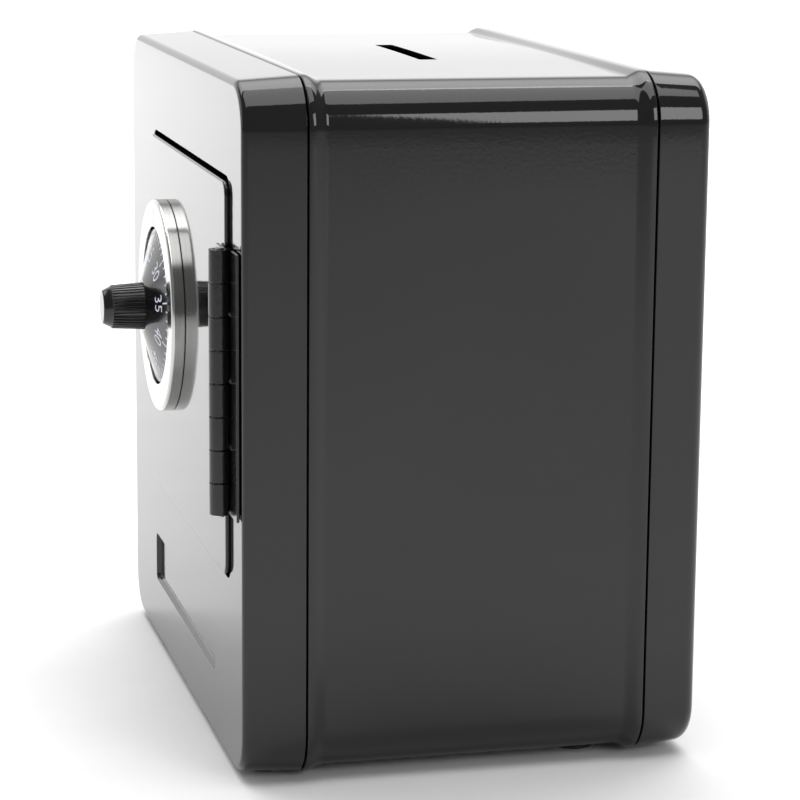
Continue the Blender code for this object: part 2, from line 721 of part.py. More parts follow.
def main():
    clear_scene()
    enamel = material("black_enamel", (0.012, 0.012, 0.013), 0.16)
    hinge_paint = material("hinge_black", (0.008, 0.008, 0.009), 0.3)
    satin = material("satin_steel", (0.62, 0.61, 0.6), 0.28, 1.0)
    plastic = material("black_plastic", (0.01, 0.01, 0.011), 0.22)
    zinc = material("zinc_plate", (0.55, 0.56, 0.58), 0.35, 1.0)
    brass = material("brass", (0.72, 0.52, 0.26), 0.3, 1.0)
    rubber = material("rubber", (0.02, 0.02, 0.02), 0.8)
    build_front_shell(enamel)
    build_body_shell(enamel)
    build_rear_shell(enamel)
    build_door_stop(enamel)
    build_strike(zinc)
    build_feet(rubber)
    build_door(enamel)
    build_hinge(hinge_paint, zinc)
    build_ring(satin)
    build_cone(plastic)
    build_knob(plastic)
    build_wheels(brass, zinc)
    build_spindle_group(zinc, brass)
    build_ring_screws(zinc)
    build_cover(zinc, zinc, zinc)


main()
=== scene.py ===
import json
import math

import bmesh
import bpy
import numpy as np
from mathutils import Matrix, Vector

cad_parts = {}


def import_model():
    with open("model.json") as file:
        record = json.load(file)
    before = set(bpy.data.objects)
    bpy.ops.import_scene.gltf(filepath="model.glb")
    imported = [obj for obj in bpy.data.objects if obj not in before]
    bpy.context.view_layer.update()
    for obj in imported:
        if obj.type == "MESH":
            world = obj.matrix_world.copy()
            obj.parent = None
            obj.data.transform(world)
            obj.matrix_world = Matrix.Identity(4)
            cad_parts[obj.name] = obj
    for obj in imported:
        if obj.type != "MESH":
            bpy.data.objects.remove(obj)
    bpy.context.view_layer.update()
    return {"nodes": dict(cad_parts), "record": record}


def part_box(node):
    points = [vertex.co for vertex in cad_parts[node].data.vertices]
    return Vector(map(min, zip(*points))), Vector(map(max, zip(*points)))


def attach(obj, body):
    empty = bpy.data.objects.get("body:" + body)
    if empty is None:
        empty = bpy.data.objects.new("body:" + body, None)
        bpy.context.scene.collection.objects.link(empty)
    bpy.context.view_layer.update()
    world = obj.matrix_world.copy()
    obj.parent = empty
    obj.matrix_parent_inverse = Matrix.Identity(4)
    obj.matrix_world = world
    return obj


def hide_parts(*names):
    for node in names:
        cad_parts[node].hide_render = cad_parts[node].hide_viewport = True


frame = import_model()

MM = 0.001
NODES = frame["nodes"]

# ---- driving sizes, in millimetres in the box's own frame, whose middle lies at y = 0
WIDTH, DEPTH, HEIGHT = 146.0, 100.4, 147.0
STAND = 1.5
MIDDLE_Z = STAND + HEIGHT / 2
FRONT_Y, REAR_Y = -DEPTH / 2, DEPTH / 2
SHIFT_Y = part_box("front_shell")[0].y / MM - FRONT_Y
SHEET = 0.8
GAP = 0.3
CORNER = 10.0
PRESS_EDGE = 0.22
FRONT_EDGE, REAR_EDGE = 1.4, 3.0
FLARE = 0.8
BODY_INSET = 0.25
BEAD, BEAD_TOP, BEAD_FALL = 0.95, 0.9, 3.4
CROWN = 0.4
FRONT_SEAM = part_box("front_shell")[1].y / MM - SHIFT_Y
REAR_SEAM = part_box("rear_shell")[0].y / MM - SHIFT_Y
SEAM_GAP = 0.4
LIP = 4.0
SLOT = (43.0, 4.2, 1.8)
DOOR = (-38.5, 58.5, 42.8, 126.9)
DOOR_GAP = 1.0
DOOR_PROUD = 0.9
DOOR_RETURN = 6.0
DOOR_CORNER = 3.0
PANEL = (-40.3, 40.3, 16.3, 28.1)
PANEL_DEPTH = 1.0
DOOR_FACE = FRONT_Y - DOOR_PROUD
HINGE_X, HINGE_Y = 61.9, FRONT_Y - 2.65
HINGE_LOW, HINGE_HIGH = 57.3, 113.7
KNUCKLES = 8
KNUCKLE_R, PIN_HOLE = 2.35, 1.25
LEAF_CLEAR = 0.45
LEAF_THICK = 0.6
LEAF_WIDE = 9.2
DIAL_X, DIAL_Z = -15.3, 89.0
RING_R, RING_HOLE = 24.7, 18.4
RING_ROUNDING = 0.8
TOUCH = 0.02
RING_BACK = DOOR_FACE - TOUCH
RING_FRONT = DOOR_FACE - GAP - 2.8
SCREW_CIRCLE, SCREW_HOLE, SCREW_BOTTOM = 22.3, 1.5, 2.3
SCREW_ANGLES = (90, 235, 305)
BUSH_HOLE = 4.5
CONE_RIM = RING_FRONT + 0.6
CONE_BACK = CONE_RIM + 1.4
CONE_TOP = CONE_RIM - 3.5
CONE_R, CONE_TOP_R, CONE_BORE = 18.0, 6.2, 2.3
KNOB_BACK = CONE_TOP - TOUCH
KNOB_FRONT = CONE_TOP - GAP - 9.2
KNOB_R, KNOB_SHOULDER_R, KNOB_TIP_R = 5.5, 5.1, 3.9
KNOB_TIP = 2.0
FLUTES = 40
FLUTE_DEPTH = 0.22
FLUTE_STEPS = 10
DIVISIONS = 50


# ---------------------------------------------------------------- mesh helpers


def world(points):
    """Box-frame millimetres to world metres."""
    array = np.asarray(points, float).reshape(-1, 3).copy()
    array[:, 1] += SHIFT_Y
    return array * MM


def new_object(name, verts, faces, origin=None):
    mesh = bpy.data.meshes.new(name)
    co = world(verts)
    place = np.zeros(3) if origin is None else world([origin])[0]
    mesh.from_pydata([tuple(p) for p in (co - place)], [], faces)
    mesh.validate()
    obj = bpy.data.objects.new(name, mesh)
    obj.location = place
    bpy.context.scene.collection.objects.link(obj)
    bm = bmesh.new()
    bm.from_mesh(mesh)
    bmesh.ops.recalc_face_normals(bm, faces=bm.faces)
    bm.to_mesh(mesh)
    bm.free()
    return obj


def settle(obj, *modifiers):
    """Adds modifiers as (type, settings) pairs and applies the whole stack."""
    for kind, settings in modifiers:
        modifier = obj.modifiers.new(kind.title(), kind)
        for key, value in settings.items():
            setattr(modifier, key, value)
    bpy.context.view_layer.update()
    evaluated = obj.evaluated_get(bpy.context.evaluated_depsgraph_get())
    mesh = bpy.data.meshes.new_from_object(evaluated)
    obj.modifiers.clear()
    obj.data = mesh
    return obj


def smooth(obj, angle=35):
    obj.data.shade_smooth()
    obj.data.set_sharp_from_angle(angle=math.radians(angle))
    modifier = obj.modifiers.new("Normals", "WEIGHTED_NORMAL")
    modifier.mode = "FACE_AREA"
    modifier.keep_sharp = True
    modifier.weight = 80
    return obj


def carve(obj, cutters, operation="DIFFERENCE"):
    for cutter in cutters:
        settle(obj, ("BOOLEAN", {"operation": operation, "solver": "EXACT", "object": cutter}))
        bpy.data.objects.remove(cutter, do_unlink=True)
    return obj


def bevelled(obj, width, segments=3, angle=40):
    """Rounds every edge sharper than the angle; width in millimetres."""
    return settle(obj, ("BEVEL", {"width": width * MM, "segments": segments, "limit_method": "ANGLE",
                                  "angle_limit": math.radians(angle), "use_clamp_overlap": True,
                                  "miter_outer": "MITER_ARC"}))


def finish_piece(obj, mat, body, slot, *replaced):
    obj.data.materials.clear()
    obj.data.materials.append(mat)
    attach(obj, body)
    if replaced:
        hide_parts(*replaced)


def arc(cx, cy, radius, start, end, steps):
    angles = np.radians(np.linspace(start, end, steps + 1))
    return [(cx + radius * math.cos(a), cy + radius * math.sin(a)) for a in angles]


def rounded(left, right, low, high, radius, steps=12):
    points = []
    for x, z, start in ((left + radius, low + radius, 180), (right - radius, low + radius, 270),
                        (right - radius, high - radius, 0), (left + radius, high - radius, 90)):
        points += arc(x, z, radius, start, start + 90, steps)
    return points


def box_outline(inset, crown=0.0, corner_steps=16, side_steps=32):
    """The box's XZ section; crown bows the top and both sides outwards."""
    half_w, half_h = WIDTH / 2 - inset, HEIGHT / 2 - inset
    radius = CORNER - inset
    flat_x, flat_z = half_w - radius, half_h - radius
    points = []
    for i, (sx, sz, start) in enumerate(((-1, -1, 180), (1, -1, 270), (1, 1, 0), (-1, 1, 90))):
        points += arc(sx * flat_x, sz * flat_z, radius, start, start + 90, corner_steps)
        for step in range(1, side_steps):
            t = step / side_steps
            bow = crown * math.sin(math.pi * t) ** 1.5
            along_x, along_z = flat_x * (2 * t - 1), flat_z * (2 * t - 1)
            points.append(((along_x, -half_h), (half_w + bow, along_z),
                           (-along_x, half_h + bow), (-half_w - bow, -along_z))[i])
    return [(x, z + MIDDLE_Z) for x, z in points]


def loft(name, rings, closed=False, origin=None):
    """Joins equal rings of 3-D points; capped unless the rings close on each other."""
    count = len(rings[0])
    verts = [point for ring in rings for point in ring]
    spans = len(rings) if closed else len(rings) - 1
    faces = []
    for r in range(spans):
        a, b = r * count, ((r + 1) % len(rings)) * count
        faces += [(a + i, a + (i + 1) % count, b + (i + 1) % count, b + i) for i in range(count)]
    if not closed:
        faces.append(tuple(range(count)))
        faces.append(tuple((len(rings) - 1) * count + i for i in range(count)))
    return new_object(name, verts, faces, origin)


def lofted_y(name, sections, closed=False, origin=None):
    return loft(name, [[(x, y, z) for x, z in outline] for y, outline in sections], closed, origin)


def prism(name, points, low, high, axis="Y", origin=None):
    order = {"Y": lambda p, t: (p[0], t, p[1]), "Z": lambda p, t: (p[0], p[1], t)}[axis]
    return loft(name, [[order(p, low) for p in points], [order(p, high) for p in points]], False, origin)


def turned(name, profile, steps=192, origin=None):
    """Turns a closed (radius, y) profile about the dial's axis."""
    rings = []
    for i in range(steps):
        a = 2 * math.pi * i / steps
        rings.append([(DIAL_X + r * math.cos(a), y, DIAL_Z + r * math.sin(a)) for r, y in profile])
    return loft(name, rings, True, origin)


# ---------------------------------------------------------------- materials


class Graph:
    """A few shorthands for building one material's node tree."""

    def __init__(self, name):
        self.mat = bpy.data.materials.new(name)
        self.mat.use_nodes = True
        self.tree = self.mat.node_tree
        self.shader = self.tree.nodes["Principled BSDF"]

    def node(self, kind, **settings):
        node = self.tree.nodes.new(kind)
        for key, value in settings.items():
            if key in node.inputs:
                node.inputs[key].default_value = value
            else:
                setattr(node, key, value)
        return node

    def link(self, source, target):
        self.tree.links.new(source, target)

    def feed(self, source, name):
        self.link(source, self.shader.inputs[name])

    def set(self, **values):
        for key, value in values.items():
            self.shader.inputs[key.replace("_", " ")].default_value = value

    def coords(self):
        return self.node("ShaderNodeTexCoord").outputs["Object"]

    def noise(self, scale, detail=2.0, roughness=0.5, vector=None):
        node = self.node("ShaderNodeTexNoise")
        node.inputs["Scale"].default_value = scale
        node.inputs["Detail"].default_value = detail
        node.inputs["Roughness"].default_value = roughness
        self.link(vector or self.coords(), node.inputs["Vector"])
        return node.outputs["Fac"]

    def remap(self, value, low, high, to_low, to_high):
        node = self.node("ShaderNodeMapRange")
        values = {"From Min": low, "From Max": high, "To Min": to_low, "To Max": to_high}
        for key, number in values.items():
            node.inputs[key].default_value = number
        self.link(value, node.inputs["Value"])
        return node.outputs["Result"]

    def ramp(self, value, *stops):
        node = self.node("ShaderNodeValToRGB")
        elements = node.color_ramp.elements
        while len(elements) < len(stops):
            elements.new(0.5)
        for element, (position, colour) in zip(elements, stops):
            element.position = position
            element.color = (*colour, 1.0)
        self.link(value, node.inputs["Fac"])
        return node.outputs["Color"]

    def bump(self, height, strength, distance, normal=None):
        node = self.node("ShaderNodeBump")
        node.inputs["Strength"].default_value = strength
        node.inputs["Distance"].default_value = distance
        self.link(height, node.inputs["Height"])
        if normal is not None:
            self.link(normal, node.inputs["Normal"])
        return node.outputs["Normal"]


def shades(shade):
    """Ramp stops for a colour that varies from a little darker to a little lighter."""
    return (0.3, tuple(c * 0.8 for c in shade)), (0.7, tuple(c * 1.25 for c in shade))


def gloss_paint(name, shade, roughness, peel=0.02, wave=0.012):
    """Sprayed gloss enamel: orange peel, slow sheet waviness, dust nibs and a slightly uneven gloss."""
    g = Graph(name)
    tone = g.noise(14.0, 3.0)
    g.feed(g.ramp(tone, *shades(shade)), "Base Color")
    g.feed(g.remap(g.noise(45.0, 4.0), 0.3, 0.7, roughness * 0.8, roughness * 1.3), "Roughness")
    g.set(IOR=1.5)
    slow = g.bump(g.noise(16.0, 1.0), wave, 0.003)
    fine = g.bump(g.noise(1100.0, 2.0), peel, 0.0003, slow)
    specks = g.node("ShaderNodeTexVoronoi", feature="F1")
    specks.inputs["Scale"].default_value = 260.0
    g.link(g.coords(), specks.inputs["Vector"])
    nib = g.remap(specks.outputs["Distance"], 0.0, 0.06, 1.0, 0.0)
    g.feed(g.bump(nib, 0.06, 0.0002, fine), "Normal")
    return g.mat


def metal(name, colour, roughness, grain_scale, grain, dark=0.75):
    """Plated or bare metal with a soft mottle and a fine grain."""
    g = Graph(name)
    g.set(Metallic=1.0)
    shade = g.noise(120.0, 4.0)
    g.feed(g.ramp(shade, (0.3, tuple(c * dark for c in colour)), (0.7, colour)), "Base Color")
    g.feed(g.remap(g.noise(300.0, 3.0), 0.3, 0.7, roughness * 0.8, roughness * 1.25), "Roughness")
    g.feed(g.bump(g.noise(grain_scale, 3.0), grain, 0.0002), "Normal")
    return g.mat


def brushed_ring(name):
    """Satin metal, brushed in circles about the dial's axis, which runs through the piece's origin."""
    g = Graph(name)
    g.set(Metallic=1.0)
    split = g.node("ShaderNodeSeparateXYZ")
    g.link(g.coords(), split.inputs[0])
    flat = g.node("ShaderNodeCombineXYZ")
    g.link(split.outputs["X"], flat.inputs["X"])
    g.link(split.outputs["Z"], flat.inputs["Y"])
    radius = g.node("ShaderNodeVectorMath", operation="LENGTH")
    g.link(flat.outputs[0], radius.inputs[0])
    line = g.node("ShaderNodeCombineXYZ")
    g.link(radius.outputs["Value"], line.inputs["X"])
    g.link(split.outputs["Y"], line.inputs["Y"])
    streaks = g.noise(2600.0, 3.0, 0.6, line.outputs[0])
    patch = g.noise(160.0, 2.0)
    g.feed(g.ramp(streaks, (0.3, (0.5, 0.497, 0.485)), (0.7, (0.6, 0.597, 0.585))), "Base Color")
    g.feed(g.remap(patch, 0.3, 0.7, 0.15, 0.19), "Roughness")
    g.feed(g.bump(streaks, 0.04, 0.0001), "Normal")
    return g.mat


def plastic(name, shade, roughness):
    g = Graph(name)
    tone = g.noise(60.0, 3.0)
    g.feed(g.ramp(tone, *shades(shade)), "Base Color")
    g.feed(g.remap(g.noise(400.0, 3.0), 0.3, 0.7, roughness * 0.85, roughness * 1.2), "Roughness")
    g.feed(g.bump(g.noise(1500.0, 2.0), 0.03, 0.0002), "Normal")
    g.set(IOR=1.49)
    return g.mat


def rubber(name):
    g = Graph(name)
    mottle = g.noise(500.0, 4.0)
    g.feed(g.ramp(mottle, (0.3, (0.012, 0.012, 0.012)), (0.7, (0.03, 0.03, 0.03))), "Base Color")
    g.feed(g.bump(g.noise(1800.0, 4.0), 0.3, 0.0003), "Normal")
    g.set(Roughness=0.75)
    return g.mat


def print_ink(name):
    g = Graph(name)
    g.feed(g.ramp(g.noise(900.0, 3.0), (0.3, (0.5, 0.53, 0.62)), (0.7, (0.68, 0.71, 0.8))), "Base Color")
    g.set(Roughness=0.35)
    return g.mat


# ---------------------------------------------------------------- box


def pan(name, face_y, inward, flange, edge):
    """A drawn pan: flat face, rounded edge, slightly flared flange, sheet thickness inside."""
    def row(depth, inset):
        return face_y + inward * depth, box_outline(inset)

    sections = [row(0.0, edge + 0.6)]
    for i in range(11):
        a = math.radians(9 * i)
        sections.append(row(edge * (1 - math.cos(a)), edge * (1 - math.sin(a))))
    for i in range(1, 9):
        t = i / 8
        sections.append(row(edge + (flange - edge) * t, -FLARE * t))
    for i in range(8, -1, -1):
        t = i / 8
        sections.append(row(edge + (flange - edge) * t, SHEET - FLARE * t))
    inner = edge - SHEET
    for i in range(1, 7):
        a = math.radians(15 * i)
        sections.append(row(edge - inner * math.sin(a), SHEET + inner * (1 - math.cos(a))))
    return lofted_y(name, sections)


def build_front_shell(mat):
    shell = pan("front_pan", FRONT_Y, 1, FRONT_SEAM - FRONT_Y, FRONT_EDGE)
    left, right, low, high = PANEL
    back = rounded(left - SHEET, right + SHEET, low - SHEET, high + SHEET, 2.0, 8)
    carve(shell, [prism("back", back, FRONT_Y + SHEET / 2, FRONT_Y + SHEET + PANEL_DEPTH)], "UNION")
    floor = rounded(left + 0.7, right - 0.7, low + 0.7, high - 0.7, 1.0, 8)
    mouth = rounded(left, right, low, high, 1.5, 8)
    recess = [(FRONT_Y + PANEL_DEPTH, floor), (FRONT_Y, mouth), (FRONT_Y - 1, mouth)]
    carve(shell, [lofted_y("recess", recess)])
    left, right, low, high = DOOR
    opening = rounded(left - DOOR_GAP, right + DOOR_GAP, low - DOOR_GAP, high + DOOR_GAP,
                      DOOR_CORNER + DOOR_GAP, 10)
    carve(shell, [prism("opening", opening, FRONT_Y - 1, FRONT_Y + 2)])
    bevelled(shell, PRESS_EDGE)
    smooth(shell)
    finish_piece(shell, mat, "box", "black_enamel", "front_shell")


def build_rear_shell(mat):
    shell = pan("rear_pan", REAR_Y, -1, REAR_Y - REAR_SEAM, REAR_EDGE)
    bevelled(shell, PRESS_EDGE)
    smooth(shell)
    finish_piece(shell, mat, "box", "black_enamel", "rear_shell")


def ease(t):
    return t * t * (3 - 2 * t)


def bead_rows(edge, inward):
    """One end of the wrap's outside: a bead with a rounded shoulder, then an S-curve down to the panel."""
    shoulder, steps = 0.4, 16
    rows = [(edge, SHEET + GAP, 0.0), (edge, 0.3, 0.0)]
    for i in range(7):
        a = math.radians(15 * i)
        y = edge + inward * shoulder * (1 - math.cos(a))
        rows.append((y, -BEAD + shoulder * (1 - math.sin(a)), 0.0))
    for i in range(steps + 1):
        t = i / steps
        y = edge + inward * (BEAD_TOP + BEAD_FALL * t)
        rows.append((y, -BEAD + (BODY_INSET + BEAD) * ease(t), CROWN * ease(t)))
    return rows


def build_body(mat):
    front, rear = FRONT_SEAM + SEAM_GAP, REAR_SEAM - SEAM_GAP
    lip, panel = SHEET + GAP, BODY_INSET + SHEET
    margin = BEAD_TOP + BEAD_FALL
    rows = [(front - LIP, lip, 0.0)] + bead_rows(front, 1)
    flat = rear - front - 2 * margin
    rows += [(front + margin + flat * i / 24, BODY_INSET, CROWN) for i in range(1, 24)]
    rows += bead_rows(rear, -1)[::-1]
    inside = lip + SHEET
    rows += [(rear + LIP, lip, 0.0), (rear + LIP, inside, 0.0), (rear - BEAD_TOP, inside, 0.0),
             (rear - margin, panel, 0.0), (rear - margin - 2, panel, CROWN),
             (front + margin + 2, panel, CROWN), (front + margin, panel, 0.0),
             (front + BEAD_TOP, inside, 0.0), (front - LIP, inside, 0.0)]
    sections = [(y, box_outline(inset, crown)) for y, inset, crown in rows]
    body = lofted_y("body_wrap", sections, closed=True)
    length, width, centre = SLOT
    slot = rounded(-length / 2, length / 2, centre - width / 2, centre + width / 2, 0.8, 6)
    top = STAND + HEIGHT
    carve(body, [prism("slot", slot, top - 6, top + 3, "Z")])
    bevelled(body, 0.15, 2, 50)
    smooth(body)
    finish_piece(body, mat, "box", "black_enamel", "body_shell")


# ---------------------------------------------------------------- door and hinge

HINGE_ORIGIN = (HINGE_X, HINGE_Y, (HINGE_LOW + HINGE_HIGH) / 2)
DIAL_ORIGIN = (DIAL_X, RING_FRONT, DIAL_Z)


def on_dial(radius, degrees):
    a = math.radians(degrees)
    return DIAL_X + radius * math.cos(a), DIAL_Z + radius * math.sin(a)


def screw_cutters(low, high):
    return [prism("hole", arc(*on_dial(SCREW_CIRCLE, angle), SCREW_HOLE, 0, 360, 24)[:-1], low, high)
            for angle in SCREW_ANGLES]


def build_door(mat):
    left, right, low, high = DOOR
    back = FRONT_Y + DOOR_RETURN

    def outline(inset):
        return rounded(left + inset, right - inset, low + inset, high - inset, DOOR_CORNER - inset, 12)

    sections = [(DOOR_FACE, outline(1.1))]
    for i in range(9):
        a = math.radians(90 * i / 8)
        sections.append((DOOR_FACE + 0.5 * (1 - math.cos(a)), outline(0.5 * (1 - math.sin(a)))))
    sections += [(back, outline(0.0)), (back, outline(SHEET)), (FRONT_Y + 0.6, outline(SHEET)),
                 (FRONT_Y, outline(SHEET + 0.6))]
    door = lofted_y("door_pan", sections, origin=HINGE_ORIGIN)
    low, high = DOOR_FACE - 1, FRONT_Y + 1
    bore = prism("bore", arc(DIAL_X, DIAL_Z, BUSH_HOLE, 0, 360, 48)[:-1], low, high)
    carve(door, [bore] + screw_cutters(low, high))
    bevelled(door, 0.12, 2)
    smooth(door)
    finish_piece(door, mat, "door", "black_enamel", "door_panel")


def build_leaf(name, mat, body, side, back_y, parity, node):
    """Flat leaf with rolled knuckles; the seam of each curl stays open a hair on the leaf's side."""
    near = KNUCKLE_R + LEAF_CLEAR
    front_y = back_y - LEAF_THICK
    xs = sorted((HINGE_X + side * near, HINGE_X + side * LEAF_WIDE))
    plate_outline = rounded(xs[0], xs[1], HINGE_LOW + GAP / 2, HINGE_HIGH - GAP / 2, 0.5, 4)
    leaf = prism(name, plate_outline, front_y, back_y, "Y", HINGE_ORIGIN)
    bevelled(leaf, 0.12, 3)
    pitch = (HINGE_HIGH - HINGE_LOW) / KNUCKLES
    tail, head = back_y - HINGE_Y, front_y - HINGE_Y
    sines = [max(-1.0, min(1.0, y / KNUCKLE_R)) for y in (tail, head)]
    tail_angle, head_angle = (math.degrees(math.asin(sine)) for sine in sines)
    turn_end = 360 + head_angle - 9
    section = [(near + 0.6, tail)]
    section += arc(0, 0, KNUCKLE_R, tail_angle, turn_end, 48)
    section += arc(0, 0, PIN_HOLE, turn_end, tail_angle + 16, 40)
    section += [(math.sqrt(max(0.0, KNUCKLE_R ** 2 - head ** 2)) - 0.15, head), (near + 0.6, head)]
    flat = [(HINGE_X + side * x, HINGE_Y + y) for x, y in section]
    parts = [leaf]
    for i in range(parity, KNUCKLES, 2):
        low, high = HINGE_LOW + i * pitch + GAP / 2, HINGE_LOW + (i + 1) * pitch - GAP / 2
        parts.append(bevelled(prism("curl", flat, low, high, "Z", HINGE_ORIGIN), 0.1, 2, 50))
    join(parts)
    smooth(leaf, 30)
    finish_piece(leaf, mat, body, "hinge_black", node)


def join(parts):
    """Merges the meshes of several pieces with one origin into the first."""
    bm = bmesh.new()
    for part in parts:
        bm.from_mesh(part.data)
    bm.to_mesh(parts[0].data)
    bm.free()
    for part in parts[1:]:
        bpy.data.objects.remove(part, do_unlink=True)
    return parts[0]


# ---------------------------------------------------------------- dial


def fillet(points, radii, steps=6):
    """Rounds the corners of a closed polygon; one radius a corner, 0 keeps it sharp."""
    out = []
    count = len(points)
    for i in range(count):
        p = Vector(points[i])
        radius = radii[i]
        if radius == 0:
            out.append(tuple(p))
            continue
        a = (Vector(points[i - 1]) - p).normalized()
        b = (Vector(points[(i + 1) % count]) - p).normalized()
        half = a.angle(b) / 2
        reach = radius / math.tan(half)
        centre = p + (a + b).normalized() * (radius / math.sin(half))
        start, end = p + a * reach - centre, p + b * reach - centre
        for s in range(steps + 1):
            direction = start.lerp(end, s / steps)
            out.append(tuple(centre + direction.normalized() * radius))
    return out


def build_ring(mat):
    """Turned ring seated on the door; what looks like a second tier behind it is its reflection."""
    section = [(RING_HOLE, RING_BACK), (RING_R, RING_BACK), (RING_R, RING_FRONT), (RING_HOLE, RING_FRONT)]
    profile = fillet(section, (0, 0.15, RING_ROUNDING, 0.2), 10)
    ring = turned("turned_ring", profile, origin=DIAL_ORIGIN)
    carve(ring, screw_cutters(DOOR_FACE - SCREW_BOTTOM, RING_BACK + 1))
    mark = rounded(DIAL_X - INDEX_WIDTH / 2, DIAL_X + INDEX_WIDTH / 2, DIAL_Z + RING_HOLE + 0.4,
                   DIAL_Z + RING_R - RING_ROUNDING - 0.3, 0.1, 3)
    carve(ring, [prism("index", mark, RING_FRONT - 1, RING_FRONT + 0.15)])
    smooth(ring)
    finish_piece(ring, mat, "door", "satin_ring", "dial_ring")


def build_cone(mat):
    section = [(CONE_BORE, CONE_BACK), (CONE_R, CONE_BACK), (CONE_R, CONE_RIM), (CONE_TOP_R, CONE_TOP),
               (CONE_BORE, CONE_TOP)]
    profile = fillet(section, (0, 0.2, 0.3, 0.3, 0))
    cone = turned("number_cone", profile, origin=DIAL_ORIGIN)
    smooth(cone)
    finish_piece(cone, mat, "dial", "dial_black", "dial_cone")


def cone_point(radius, degrees, lift=0.0):
    """A point on the cone's slope; degrees run clockwise from 12 o'clock, as seen from the front."""
    slope = (CONE_TOP - CONE_RIM) / (CONE_R - CONE_TOP_R)
    y = CONE_RIM + slope * (CONE_R - radius)
    normal = Vector((-slope, -1.0)).normalized()
    a = math.radians(90 - degrees)
    r = radius + normal.x * lift
    return DIAL_X + r * math.cos(a), y + normal.y * lift, DIAL_Z + r * math.sin(a)


LABEL_RADIUS, LABEL_HEIGHT, LABEL_WIDTH = 12.6, 3.5, 0.86
DIGIT_SHARE = 0.7  # a digit's height as a share of the font's size
LONG_EDGE = 0.7
TICK_RADIUS, TICK_LONG, TICK_SHORT, TICK_WIDE = 17.3, 2.6, 1.1, 0.42
INDEX_WIDTH = 0.7
PRINT_LIFT = 0.03
ZERO_ANGLE = 79 - 35 * 360 / DIVISIONS  # puts 35 at 79 degrees clockwise from 12 o'clock


def build_print(mat):
    """Numbers and division marks, as thin raised ink on the cone."""
    bm = bmesh.new()
    for mark in range(DIVISIONS):
        angle = ZERO_ANGLE + mark * 360 / DIVISIONS
        length = TICK_LONG if mark % 5 == 0 else TICK_SHORT
        spread = math.degrees(TICK_WIDE / 2 / TICK_RADIUS)
        end = TICK_RADIUS - length
        corners = [(TICK_RADIUS, -1), (TICK_RADIUS, 1), (end, 1), (end, -1)]
        bm.faces.new([bm.verts.new(cone_point(r, angle + s * spread, PRINT_LIFT)) for r, s in corners])
    for label in range(0, DIVISIONS, 5):
        angle = ZERO_ANGLE + label * 360 / DIVISIONS
        curve = bpy.data.curves.new("label", "FONT")
        curve.body = str(label)
        curve.size = LABEL_HEIGHT / DIGIT_SHARE
        curve.align_x = "CENTER"
        curve.resolution_u = 6
        text = bpy.data.objects.new("label", curve)
        bpy.context.scene.collection.objects.link(text)
        bpy.context.view_layer.update()
        mesh = bpy.data.meshes.new_from_object(text.evaluated_get(bpy.context.evaluated_depsgraph_get()))
        glyphs = bmesh.new()
        glyphs.from_mesh(mesh)
        bmesh.ops.triangulate(glyphs, faces=glyphs.faces)
        long_edges = [edge for edge in glyphs.edges if edge.calc_length() > LONG_EDGE]
        bmesh.ops.subdivide_edges(glyphs, edges=long_edges, cuts=2)
        made = {}
        for vert in glyphs.verts:
            radius = LABEL_RADIUS + vert.co.y - LABEL_HEIGHT / 2
            across = math.degrees(vert.co.x * LABEL_WIDTH / LABEL_RADIUS)
            made[vert] = bm.verts.new(cone_point(radius, angle + across, PRINT_LIFT))
        for face in glyphs.faces:
            bm.faces.new([made[v] for v in face.verts])
        glyphs.free()
        bpy.data.objects.remove(text, do_unlink=True)
    verts = [tuple(v.co) for v in bm.verts]
    bm.verts.index_update()
    faces = [tuple(v.index for v in f.verts) for f in bm.faces]
    bm.free()
    ink = new_object("dial_print", verts, faces, DIAL_ORIGIN)
    finish_piece(ink, mat, "dial", "dial_black")


def build_knob(mat):
    """Finger knob with fine flutes, a little slimmer towards its plain chamfered tip."""
    length = KNOB_BACK - KNOB_FRONT
    tip = length - KNOB_TIP
    neck = KNOB_SHOULDER_R - FLUTE_DEPTH
    stations = [(0.0, KNOB_R, FLUTE_DEPTH), (tip * 0.5, (KNOB_R + KNOB_SHOULDER_R) / 2, FLUTE_DEPTH),
                (tip - 0.3, KNOB_SHOULDER_R, FLUTE_DEPTH), (tip - 0.1, KNOB_SHOULDER_R - 0.05, 0.12),
                (tip, neck, 0.0), (tip + 0.05, neck - 0.08, 0.0), (length - 0.3, KNOB_TIP_R + 0.1, 0.0),
                (length - 0.1, KNOB_TIP_R - 0.05, 0.0), (length, KNOB_TIP_R - 0.25, 0.0)]
    count = FLUTES * FLUTE_STEPS
    rings = []
    for along, radius, depth in stations:
        ring = []
        for i in range(count):
            groove = depth * max(0.0, math.cos(2 * math.pi * (i % FLUTE_STEPS) / FLUTE_STEPS)) ** 0.6
            a = 2 * math.pi * i / count
            r = radius - groove
            ring.append((DIAL_X + r * math.cos(a), KNOB_BACK - along, DIAL_Z + r * math.sin(a)))
        rings.append(ring)
    knob = loft("finger_knob", rings, False, DIAL_ORIGIN)
    smooth(knob, 50)
    finish_piece(knob, mat, "dial", "dial_black", "dial_knob")


# ---------------------------------------------------------------- stage

CAMERA_AZIMUTH, CAMERA_ELEVATION, CAMERA_ROLL = 75.935, 11.508, 0.525
CAMERA_PLACE = (0.6287, -0.148, 0.1992)
CAMERA_LENS = 126.8


